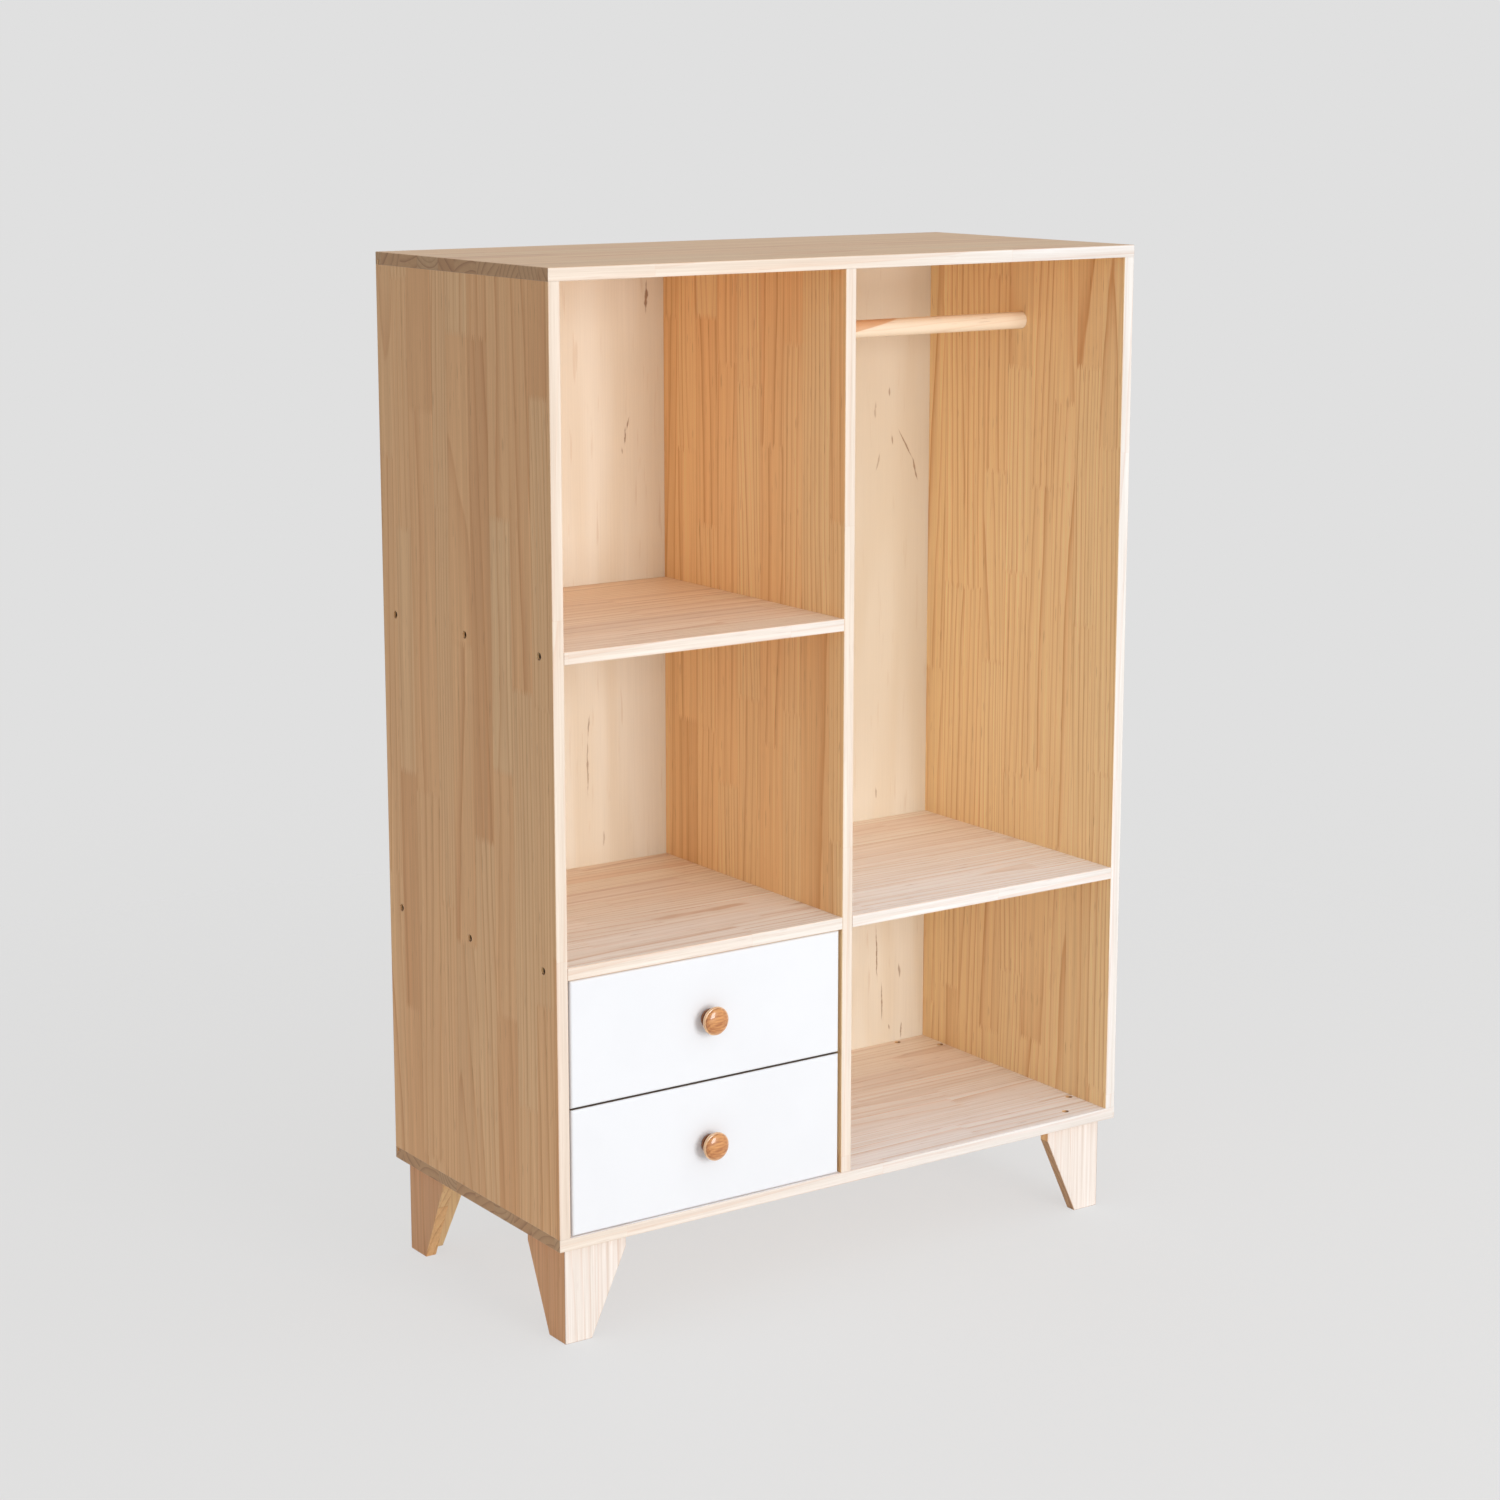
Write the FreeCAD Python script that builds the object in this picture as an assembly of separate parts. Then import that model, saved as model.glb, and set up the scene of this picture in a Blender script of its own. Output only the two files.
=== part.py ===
import FreeCAD, Part
import math
import os

# An open wardrobe for a child's room, in glued pine board. A carcass stands on four tapered corner legs.
# It has a plywood back, three shelves, a hanging rod and two painted drawers on telescopic slides.
# Lengths are in millimetres. +Z is up and the front looks towards -Y.
# The origin is on the floor, under the middle of the whole outline.

# Carcass
width = 850.0
depth = 400.0
carcass_height = 1138.0
board = 15.0
left_bay_width = 390.0
drawer_bay_height = 311.0
middle_bay_height = 353.0
low_right_bay_height = 311.0
eased_edge = 0.6

# Plywood back, held in grooves with a strip of board behind it
back_thickness = 4.0
back_strip = 4.0
groove_depth = 6.0

# Housings in the divider that take the shelf ends, stopped short of the front edge
shelf_housing = 5.0
shelf_housing_stop = 20.0

# Hanging rod, let into blind sockets
rod_diameter = 22.0
rod_drop = 90.0
rod_setback = 200.0
rod_socket_depth = 8.0

# Corner legs, each of two tapered boards that meet in a mitre
leg_height = 122.0
leg_width = 85.0
leg_shoulder = 18.0
foot_width = 37.0
leg_side_inset = 15.0
leg_front_inset = 15.0
leg_back_inset = 8.0
leg_screw_reach = 50.0

# Carcass screws: a thick neck, sunk below the face of one board, and a shank in the end of the next
screw_neck_diameter = 9.0
screw_shank_diameter = 5.0
screw_bite = 35.0
screw_sink = 3.0
screw_socket_width = 4.0
screw_socket_depth = 3.0
screw_edge = 30.0
socket_sides = 6
neck_sides = 16
shank_sides = 8

# Loose tongues, glued between the upright boards and the top and bottom panels
tongue_thickness = 4.0
tongue_length = 40.0
tongue_in_face = 9.0
tongue_in_end = 20.0
tongue_place_shares = (0.22, 0.78)

# Drawer fronts and boxes
drawer_count = 2
drawer_top_gap = 1.2
drawer_middle_gap = 2.0
drawer_bottom_gap = 0.8
drawer_side_gap = 3.6
drawer_recess = 1.5
drawer_front_thickness = 15.0
drawer_front_rounding = 3.0
box_wall = 12.0
box_height = 110.0
box_lift = 18.0
box_length = 355.0
box_housing = 5.0
box_bottom_thickness = 4.0
box_bottom_lift = 10.0
box_groove_depth = 5.0

# Telescopic slides: three nested steel channels on each side of a drawer
slide_length = 350.0
slide_height = 45.0
slide_thickness = 12.7
slide_start = 3.0
slide_steel = 1.2
slide_bend = 2.0
slide_running_gap = 0.4
slide_channel_depth = 10.0
slide_web_gap = 2.4

# Turned knobs and the screws that hold them from inside the drawer
knob_diameter = 35.0
knob_reach = 22.0
knob_dome_rise = 4.5
knob_rim = 2.0
knob_neck_diameter = 14.0
knob_collar_diameter = 24.0
knob_collar = 3.0
flare_steps = 2
dome_steps = 2
knob_screw_head_diameter = 8.0
knob_screw_head_height = 2.5
knob_screw_diameter = 4.0
knob_screw_bite = 12.0

# Room left where one piece goes into another
fit_clearance = 0.1
end_room = 0.5

# How far a cut runs past the piece it cuts, and how near counts as on a face
overrun = 2.0
near = 0.01

across = FreeCAD.Vector(1, 0, 0)
inward = FreeCAD.Vector(0, 1, 0)
up = FreeCAD.Vector(0, 0, 1)

# Main planes, from left to right, front to back and floor to top
left = -width / 2
right = width / 2
left_inside = left + board
right_inside = right - board
divider_left = left_inside + left_bay_width
divider_right = divider_left + board
front = (knob_reach - drawer_recess - depth) / 2
back = front + depth
back_face = back - back_strip - back_thickness
base = leg_height
bay_floor = base + board
top = base + carcass_height
ceiling = top - board
drawer_shelf_top = bay_floor + drawer_bay_height + board
upper_shelf_top = drawer_shelf_top + middle_bay_height + board
right_shelf_top = bay_floor + low_right_bay_height + board
upright_middles = (left + board / 2, divider_left + board / 2, right - board / 2)

# Rows of fixings, from front to back
tongue_rows = [front + share * depth for share in tongue_place_shares]
screw_rows = [front + screw_edge, front + depth / 2, back - screw_edge]

# Drawers, told apart by the height of the lower edge of the front
drawer_gaps = drawer_top_gap + (drawer_count - 1) * drawer_middle_gap + drawer_bottom_gap
drawer_front_height = (drawer_bay_height - drawer_gaps) / drawer_count
lower_drawer = bay_floor + drawer_bottom_gap
upper_drawer = lower_drawer + drawer_front_height + drawer_middle_gap
drawer_lows = {"lower": lower_drawer, "upper": upper_drawer}
drawer_face = front + drawer_recess
box_front = drawer_face + drawer_front_thickness
box_back = box_front + box_length
box_left = left_inside + slide_thickness
box_right = divider_left - slide_thickness
drawer_middle = (left_inside + divider_left) / 2

# Slides, from the bay's left wall towards the drawer
slide_front = box_front + slide_start
slide_end = slide_front + slide_length
middle_web = left_inside + slide_steel + slide_web_gap
middle_height = slide_height - 2 * (slide_steel + slide_running_gap)
inner_height = middle_height - 2 * (slide_steel + slide_running_gap)


# Shapes that many pieces are made with

def point(x, y, z):
    return FreeCAD.Vector(x, y, z)


def block(low, high):
    """A box between two opposite corners."""
    sides = [end - start for start, end in zip(low, high)]
    return Part.makeBox(*sides, point(*low))


def bar(start, end, diameter):
    """A round bar from one point to another."""
    run = end - start
    return Part.makeCylinder(diameter / 2, run.Length, start, run)


def prism(outline, run):
    """A closed outline of points, drawn out along run."""
    return Part.Face(Part.makePolygon(outline + outline[:1])).extrude(run)


def flat_sided_bar(start, end, diameter, sides):
    """A bar of even flat sides, as wide across its corners as the diameter."""
    run = end - start
    corner = (up if abs(run.z) < near else inward) * (diameter / 2)
    turns = [FreeCAD.Rotation(run, 360 * side / sides) for side in range(sides)]
    return prism([start + turn.multVec(corner) for turn in turns], run)


def eased(shape, is_eased):
    """Takes the sharpness off the edges whose bounding box passes the test."""
    return shape.makeChamfer(eased_edge, [edge for edge in shape.Edges if is_eased(edge.BoundBox)])


def group(solids):
    return Part.makeCompound(list(solids))


def mirrored_in_bay(shape):
    """The same piece on the other side of a drawer."""
    return shape.mirror(point(drawer_middle, 0, 0), across)


# Carcass fasteners. A joint is a point between two boards and the direction into the second one.
# Screws and their holes have flat sides, which the shank has in place of its thread.

def carcass_screw(joint, direction):
    """A screw with its shoulder on the joint and a drive socket in its neck."""
    crown = joint - direction * (board - screw_sink)
    neck = flat_sided_bar(crown, joint, screw_neck_diameter, neck_sides)
    shank = flat_sided_bar(joint, joint + direction * screw_bite, screw_shank_diameter, shank_sides)
    socket_end = crown + direction * screw_socket_depth
    socket_corners = screw_socket_width / math.cos(math.pi / socket_sides)
    socket = flat_sided_bar(crown, socket_end, socket_corners, socket_sides)
    return neck.fuse(shank).cut(socket)


def carcass_screw_hole(joint, direction):
    start = joint - direction * (board + overrun)
    mouth = flat_sided_bar(start, joint, screw_neck_diameter + 2 * fit_clearance, neck_sides)
    tip = joint + direction * (screw_bite + end_room)
    bore = flat_sided_bar(joint, tip, screw_shank_diameter + 2 * fit_clearance, shank_sides)
    return mouth.fuse(bore)


def tongue(joint, direction, side_room=0, room_at_ends=0):
    """A flat strip across an upright joint, or with room round it, the slot that takes it."""
    half_thickness = tongue_thickness / 2 + side_room
    half_length = tongue_length / 2 + side_room
    face_end = joint - direction * (tongue_in_face + room_at_ends)
    far_end = joint + direction * (tongue_in_end + room_at_ends)
    low, high = sorted((face_end.z, far_end.z))
    start = (joint.x - half_thickness, joint.y - half_length, low)
    return block(start, (joint.x + half_thickness, joint.y + half_length, high))


def tongue_slots():
    return [tongue(*joint, fit_clearance, end_room) for joint in top_joints() + bottom_joints()]


def top_joints():
    return [(point(x, y, ceiling), -up) for x in upright_middles for y in tongue_rows]


def bottom_joints():
    return [(point(x, y, bay_floor), up) for x in upright_middles for y in tongue_rows]


def shelf_joints():
    """Where the sides are screwed to the shelf ends."""
    left_middles = [shelf_top - board / 2 for shelf_top in (drawer_shelf_top, upper_shelf_top)]
    joints = [(point(left_inside, y, z), across) for z in left_middles for y in screw_rows]
    right_middle = right_shelf_top - board / 2
    return joints + [(point(right_inside, y, right_middle), -across) for y in screw_rows]


def leg_joints():
    """Where the bottom panel is screwed to each leg: one screw for each board."""
    spots = ((leg_screw_reach, board / 2), (board / 2, leg_screw_reach))
    corners = leg_corners.values()
    return [(leg_point(x, y, base, *corner), -up) for corner in corners for x, y in spots]


def shelf_screw_holes():
    return [carcass_screw_hole(*joint) for joint in shelf_joints()]


def leg_screw_holes():
    return [carcass_screw_hole(*joint) for joint in leg_joints()]


# Legs, drawn at the front left corner and mirrored to the others

leg_corners = {
    "front_left": (1, 1),
    "front_right": (-1, 1),
    "back_left": (1, -1),
    "back_right": (-1, -1),
}


def leg_point(x, y, z, side, end):
    """A place in the wardrobe, from its distances to a leg's own outer corner."""
    corner_x = (left + leg_side_inset) * side
    corner_y = front + leg_front_inset if end > 0 else back - leg_back_inset
    return point(corner_x + x * side, corner_y + y * end, z)


def at_corner(shape, side, end):
    origin = point(0, 0, 0)
    if side < 0:
        shape = shape.mirror(origin, across)
    if end < 0:
        shape = shape.mirror(origin, inward)
    return shape.translated(leg_point(0, 0, 0, side, end))


def leg_board():
    """One tapered leg board along X, mitred at x = 0 for the board that stands beside it."""
    outline = [
        point(0, 0, 0),
        point(foot_width, 0, 0),
        point(leg_width, 0, leg_height - leg_shoulder),
        point(leg_width, 0, leg_height),
        point(0, 0, leg_height),
    ]
    blank = prism(outline, inward * board)
    blank = eased(blank, lambda box: box.YLength < near < box.XMax and box.ZMin < leg_height - near)
    far = board + overrun
    waste = [point(-overrun, -overrun, 0), point(far, far, 0), point(-overrun, far, 0)]
    return blank.cut(prism(waste, up * leg_height))


def leg_pieces():
    """Eight boards: in each leg one faces the front or the back, and one faces the side."""
    pieces = {}
    facing = leg_board()
    sideways = facing.mirror(point(0, 0, 0), across - inward)
    for name, corner in leg_corners.items():
        facing_name = name.split("_")[0]
        pieces[f"{name}_leg_{facing_name}_board"] = at_corner(facing, *corner).cut(leg_screw_holes())
        pieces[f"{name}_leg_side_board"] = at_corner(sideways, *corner).cut(leg_screw_holes())
    return pieces


# Carcass boards

def panel_groove():
    """The back's groove along the top and bottom panels, open at both ends of each."""
    low = (left - overrun, back_face, bay_floor - groove_depth)
    high = (right + overrun, back_face + back_thickness, ceiling + groove_depth)
    return block(low, high)


def side_groove():
    """The back's groove down both sides."""
    low = (left_inside - groove_depth, back_face, base)
    high = (right_inside + groove_depth, back_face + back_thickness, top)
    return block(low, high)


def top_panel():
    panel = block((left, front, ceiling), (right, back, top))
    panel = eased(panel, lambda box: box.ZMin > top - near)
    return panel.cut([panel_groove()] + tongue_slots())


def bottom_panel():
    panel = block((left, front, base), (right, back, bay_floor))
    panel = eased(panel, lambda box: box.ZMax < base + near)
    return panel.cut([panel_groove()] + tongue_slots() + leg_screw_holes())


def upright(x, y_end):
    """A board from the bottom panel to the top panel, eased along its front edges."""
    panel = block((x, front, bay_floor), (x + board, y_end, ceiling))
    return eased(panel, lambda box: box.YMax < front + near and box.ZLength > board)


def left_side():
    return upright(left, back).cut([side_groove()] + tongue_slots() + shelf_screw_holes())


def right_side():
    cuts = [side_groove(), rod_socket()] + tongue_slots() + shelf_screw_holes()
    return upright(right_inside, back).cut(cuts)


def divider():
    tongues = [shelf_tongue(1, drawer_shelf_top), shelf_tongue(1, upper_shelf_top)]
    tongues.append(shelf_tongue(-1, right_shelf_top))
    return upright(divider_left, back_face).cut(tongues + [rod_socket()] + tongue_slots())


def shelf_tongue(run, shelf_top):
    """The end of a shelf that goes into the divider, to the right (1) or to the left (-1)."""
    face = divider_left if run > 0 else divider_right
    start, end = sorted((face, face + run * shelf_housing))
    low = (start, front + shelf_housing_stop, shelf_top - board)
    return block(low, (end, back_face, shelf_top))


def shelf(start, end, run, shelf_top):
    panel = block((start, front, shelf_top - board), (end, back_face, shelf_top))
    panel = eased(panel, lambda box: box.YMax < front + near and box.XLength > board)
    return panel.fuse(shelf_tongue(run, shelf_top)).removeSplitter().cut(shelf_screw_holes())


def left_shelf(shelf_top):
    return shelf(left_inside, divider_left, 1, shelf_top)


def right_shelf():
    return shelf(divider_right, right_inside, -1, right_shelf_top)


def back_panel():
    reach = groove_depth - end_room
    low = (left_inside - reach, back_face, bay_floor - reach)
    high = (right_inside + reach, back_face + back_thickness, ceiling + reach)
    return block(low, high)


def rod_along(reach, diameter):
    y = front + rod_setback
    z = ceiling - rod_drop
    return bar(point(divider_right - reach, y, z), point(right_inside + reach, y, z), diameter)


def hanging_rod():
    return rod_along(rod_socket_depth - end_room, rod_diameter)


def rod_socket():
    return rod_along(rod_socket_depth, rod_diameter + 2 * fit_clearance)


# Slides, drawn on the left of a drawer and mirrored to its right

def box_low(low):
    """Lower edge of a drawer's box, from the lower edge of its front."""
    return low + box_lift


def bent_bar(web, rim, height, bend, low):
    """A bar along the slide with its two edges at x = web rounded."""
    z = box_low(low) + box_height / 2
    start = (min(web, rim), slide_front, z - height / 2)
    end = (max(web, rim), slide_end, z + height / 2)
    shape = block(start, end)
    boxes = [(edge, edge.BoundBox) for edge in shape.Edges]
    bends = [edge for edge, box in boxes if box.YLength > near and abs(box.XMax - web) < near]
    return shape.makeFillet(bend, bends)


def channel(web, rim, height, low):
    """A folded steel channel. Its web stands at x = web and its flanges end at x = rim."""
    run = math.copysign(1, rim - web)
    skin = bent_bar(web, rim, height, slide_bend, low)
    inside_web = web + run * slide_steel
    inside_height = height - 2 * slide_steel
    return skin.cut(bent_bar(inside_web, rim + run * overrun, inside_height, slide_bend - slide_steel, low))


def slide_members(low):
    """The outer channel on the carcass, the inner one on the drawer, and the one that runs between them."""
    middle_rim = box_left - slide_steel - slide_running_gap
    inner_rim = middle_web + slide_steel + slide_running_gap
    return {
        "outer": channel(left_inside, left_inside + slide_channel_depth, slide_height, low),
        "middle": channel(middle_web, middle_rim, middle_height, low),
        "inner": channel(box_left, inner_rim, inner_height, low),
    }


def slide_pieces(name, low):
    pieces = {}
    for member, shape in slide_members(low).items():
        pieces[f"{name}_left_slide_{member}"] = shape
        pieces[f"{name}_right_slide_{member}"] = mirrored_in_bay(shape)
    return pieces


# Drawers. Side ends sit in housings in the front, and the back's ends in housings in the sides.

def side_block(low):
    start = (box_left, box_front - box_housing, box_low(low))
    return block(start, (box_left + box_wall, box_back, box_low(low) + box_height))


def back_block(low):
    reach = box_wall - box_housing
    start = (box_left + reach, box_back - box_wall, box_low(low))
    return block(start, (box_right - reach, box_back, box_low(low) + box_height))


def bottom_block(low, edge_room):
    """The thin bottom, with its edges in the grooves of the front, sides and back."""
    reach = box_groove_depth - edge_room
    z = box_low(low) + box_bottom_lift
    start = (box_left + box_wall - reach, box_front - reach, z)
    end = (box_right - box_wall + reach, box_back - box_wall + reach, z + box_bottom_thickness)
    return block(start, end)


def drawer_front(low):
    start = (left_inside + drawer_side_gap, drawer_face, low)
    end = (divider_left - drawer_side_gap, box_front, low + drawer_front_height)
    panel = block(start, end)
    rounded = [edge for edge in panel.Edges if edge.BoundBox.YMax < drawer_face + near]
    panel = panel.makeFillet(drawer_front_rounding, rounded)
    housings = [side_block(low), mirrored_in_bay(side_block(low))]
    return panel.cut(housings + [bottom_block(low, 0), knob_screw_hole(low)])


def drawer_side(low):
    return side_block(low).cut([back_block(low), bottom_block(low, 0)])


def drawer_back(low):
    return back_block(low).cut(bottom_block(low, 0))


# Knobs

def knob_seat(low):
    """Where the knob's screw sits on the inside of the front; the knob is opposite."""
    return point(drawer_middle, box_front, low + drawer_front_height / 2)


def knob_screw(low):
    seat = knob_seat(low)
    head = bar(seat, seat + inward * knob_screw_head_height, knob_screw_head_diameter)
    tip = seat - inward * (drawer_front_thickness + knob_screw_bite)
    return head.fuse(flat_sided_bar(tip, seat, knob_screw_diameter, shank_sides))


def knob_screw_hole(low):
    seat = knob_seat(low)
    tip = seat - inward * (drawer_front_thickness + knob_screw_bite + end_room)
    hole = knob_screw_diameter + 2 * fit_clearance
    return flat_sided_bar(tip, seat + inward * overrun, hole, shank_sides)


def knob_profile():
    """Half the knob's outline: collar, neck flaring to the rim, and domed face, in straight turned steps."""
    collar_radius = knob_collar_diameter / 2
    neck_radius = knob_neck_diameter / 2
    cap_radius = knob_diameter / 2
    rim_front = knob_reach - knob_dome_rise
    rim_back = rim_front - knob_rim
    dome_radius = (cap_radius ** 2 + knob_dome_rise ** 2) / (2 * knob_dome_rise)
    dome_turn = math.asin(cap_radius / dome_radius)

    def spot(radius, reach):
        return point(radius, -reach, 0)

    def flare_spot(turn):
        radius = cap_radius - (cap_radius - neck_radius) * math.cos(turn)
        return spot(radius, knob_collar + (rim_back - knob_collar) * math.sin(turn))

    def dome_spot(turn):
        return spot(dome_radius * math.sin(turn), knob_reach - dome_radius * (1 - math.cos(turn)))

    outline = [spot(0, 0), spot(collar_radius, 0), spot(collar_radius, knob_collar)]
    outline += [flare_spot(math.pi / 2 * step / flare_steps) for step in range(flare_steps + 1)]
    outline += [dome_spot(dome_turn * (1 - step / dome_steps)) for step in range(dome_steps + 1)]
    return Part.Face(Part.makePolygon(outline + outline[:1]))


def knob(low):
    seat = knob_seat(low)
    turned = knob_profile().revolve(point(0, 0, 0), inward, 360)
    return turned.translated(point(seat.x, drawer_face, seat.z)).cut(knob_screw_hole(low))


# The whole wardrobe

def carcass_pieces():
    return {
        "top_panel": top_panel(),
        "bottom_panel": bottom_panel(),
        "left_side": left_side(),
        "right_side": right_side(),
        "divider": divider(),
        "upper_shelf": left_shelf(upper_shelf_top),
        "drawer_shelf": left_shelf(drawer_shelf_top),
        "right_shelf": right_shelf(),
        "back_panel": back_panel(),
        "hanging_rod": hanging_rod(),
        "top_tongues": group(tongue(*joint) for joint in top_joints()),
        "bottom_tongues": group(tongue(*joint) for joint in bottom_joints()),
        "shelf_screws": group(carcass_screw(*joint) for joint in shelf_joints()),
        "leg_screws": group(carcass_screw(*joint) for joint in leg_joints()),
    }


def drawer_pieces(name, low):
    return {
        f"{name}_drawer_front": drawer_front(low),
        f"{name}_drawer_left_side": drawer_side(low),
        f"{name}_drawer_right_side": mirrored_in_bay(drawer_side(low)),
        f"{name}_drawer_back": drawer_back(low),
        f"{name}_drawer_bottom": bottom_block(low, end_room),
        f"{name}_drawer_knob": knob(low),
        f"{name}_drawer_knob_screw": knob_screw(low),
    }


def main():
    pieces = carcass_pieces() | leg_pieces()
    for name, low in drawer_lows.items():
        pieces |= slide_pieces(name, low) | drawer_pieces(name, low)
    os.makedirs("parts", exist_ok=True)
    for name, shape in pieces.items():
        shape.exportStep(f"parts/{name}.step")
        print(f"{name}: {len(shape.Solids)} solids, {shape.Volume:.0f} cubic mm, valid {shape.isValid()}")


main()
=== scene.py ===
# %% [markdown]
# # A child's open wardrobe in glued pine
# The wardrobe is boards, legs, two drawers on steel slides, a rod and screws. Each of them is already a true
# solid in the imported frame, so this lesson is mostly about finish: how sawn wood, plywood, paint, varnish and
# steel are built from shader nodes, without a single picture file. The frame comes first. The dressed object
# has to stay inside it.

# %% Load the imported frame
import math

import bmesh
import bpy
from mathutils import Color, Matrix, Vector


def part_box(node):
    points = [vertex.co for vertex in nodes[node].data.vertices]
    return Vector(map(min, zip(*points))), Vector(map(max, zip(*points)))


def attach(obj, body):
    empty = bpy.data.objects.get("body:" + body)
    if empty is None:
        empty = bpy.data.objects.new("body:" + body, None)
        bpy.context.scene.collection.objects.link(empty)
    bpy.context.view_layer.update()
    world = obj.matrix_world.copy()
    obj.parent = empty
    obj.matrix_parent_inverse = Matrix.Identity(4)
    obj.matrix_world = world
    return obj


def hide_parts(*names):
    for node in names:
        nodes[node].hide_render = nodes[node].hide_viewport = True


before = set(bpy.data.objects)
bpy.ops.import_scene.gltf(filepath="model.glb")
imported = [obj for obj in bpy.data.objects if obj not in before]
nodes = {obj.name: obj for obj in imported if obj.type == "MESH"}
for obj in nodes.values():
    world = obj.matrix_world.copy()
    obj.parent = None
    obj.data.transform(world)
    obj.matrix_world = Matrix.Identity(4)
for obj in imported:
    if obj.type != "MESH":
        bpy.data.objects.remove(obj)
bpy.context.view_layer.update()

# %% [markdown]
# ## Helpers for node graphs
# A shader graph can be clicked together by hand or written down. Written down, it needs a few short helpers,
# or the wiring hides the idea. `add` places a node and fills its inputs with numbers or with other nodes'
# outputs. `calc` is one sum, `times` a product, `between` a value in a range, `step_up` a soft threshold,
# `cloud` a noise and `blend_colour` a mix of two colours.

# %% Helpers for numbers
def add(tree, kind, inputs=None, **settings):
    """Places a shader node. The inputs go by name or number and are values or output sockets."""
    made = tree.nodes.new("ShaderNode" + kind)
    for setting, value in settings.items():
        setattr(made, setting, value)
    for socket, value in (inputs or {}).items():
        if isinstance(value, bpy.types.NodeSocket):
            tree.links.new(value, made.inputs[socket])
        else:
            made.inputs[socket].default_value = value
    return made


def calc(tree, operation, *values):
    """One sum of a Math node."""
    return add(tree, "Math", dict(enumerate(values)), operation=operation).outputs[0]


def times(tree, *values):
    """Two or more values multiplied."""
    product = values[0]
    for value in values[1:]:
        product = calc(tree, "MULTIPLY", product, value)
    return product


def between(tree, share, low, high):
    """A value from low to high while the share goes from 0 to 1."""
    return calc(tree, "MULTIPLY_ADD", share, high - low, low)


def step_up(tree, value, low, high, bottom=0.0, top=1.0):
    """A soft step from bottom to top while the value goes from low to high."""
    limits = {0: value, 1: low, 2: high, 3: bottom, 4: top}
    return add(tree, "MapRange", limits, interpolation_type="SMOOTHSTEP").outputs[0]


print("helpers for numbers ready")

# %% Helpers for vectors, noise and colours
def vector_calc(tree, operation, *values):
    """One sum of a Vector Math node: a number for a length or a dot product, and a vector otherwise."""
    outputs = add(tree, "VectorMath", dict(enumerate(values)), operation=operation).outputs
    return outputs["Value" if operation in ("LENGTH", "DOT_PRODUCT") else "Vector"]


def parts_of(tree, vector):
    """The three parts of a vector or a colour."""
    return add(tree, "SeparateXYZ", {0: vector}).outputs


def joined(tree, *parts):
    """A vector from three parts."""
    return add(tree, "CombineXYZ", dict(enumerate(parts))).outputs[0]


def cloud(tree, place, lumps, detail=2.0, roughness=0.5):
    """Noise from 0 to 1 with its own number of lumps per metre along each axis."""
    stretched = vector_calc(tree, "MULTIPLY", place, lumps)
    inputs = {"Vector": stretched, "Scale": 1.0, "Detail": detail, "Roughness": roughness}
    return add(tree, "TexNoise", inputs).outputs[0]


def random_of(tree, key):
    """A random value and a random colour for every whole number that the key takes."""
    return add(tree, "TexWhiteNoise", {"W": key}, noise_dimensions="1D").outputs


def blend_colour(tree, share, below, above, how="MIX"):
    """Two colours mixed by a share."""
    return add(tree, "Mix", {0: share, 6: below, 7: above}, data_type="RGBA", blend_type=how).outputs[2]


def shaded(tree, colour, shade):
    """A colour made darker or lighter by one value."""
    return blend_colour(tree, 1.0, colour, joined(tree, shade, shade, shade), "MULTIPLY")


def screen_colour(red, green, blue):
    """A colour as it is read off a screen, in the linear values that shaders take."""
    levels = [level / 255 for level in (red, green, blue)]
    return (*Color(levels).from_srgb_to_scene_linear(), 1.0)


print("helpers for colours ready")

# %% Helpers for node groups
def new_group(name, takes, gives):
    """An empty node group with named sockets, its inner inputs and its inner outputs."""
    group = bpy.data.node_groups.new(name, "ShaderNodeTree")
    for way, sockets in (("INPUT", takes), ("OUTPUT", gives)):
        for socket, kind in sockets.items():
            group.interface.new_socket(socket, in_out=way, socket_type="NodeSocket" + kind)
    inner = group.nodes.new("NodeGroupInput").outputs
    outer = group.nodes.new("NodeGroupOutput").inputs
    return group, inner, outer


def give(group, outer, **values):
    """Wires values to a group's outputs by name."""
    for socket, value in values.items():
        group.links.new(value, outer[socket])


def use_group(tree, group, inputs):
    """Places a group in a tree and returns its outputs."""
    return add(tree, "Group", inputs, node_tree=group).outputs


print("helpers for groups ready")

# %% [markdown]
# ## How a glued board is laid out
# The boards are not sawn from one wide tree. Narrow staves are jointed end to end with a comb of fingers and
# glued side by side, so each stave has its own tone and its own grain. Real planks could be modelled one by
# one, but then every board would be hundreds of solids. Instead a group cuts the surface into uneven rows,
# cuts each row at random lengths, and shifts the cuts by a zigzag for the fingers. It hands out three random
# numbers per stave, the place across the stave, and a mask for the glue lines. All places are metres: across,
# along, through the board.

# %% Node group: stave layout
finger_pitch, finger_length, glue_line = 0.0045, 0.009, 0.0009
row_wobble, wobble_share = 0.9, 0.45
length_shares = (0.55, 1.45)
row_offset, key_offset, start_offset = 3.71, 13.1, 9.0


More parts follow.
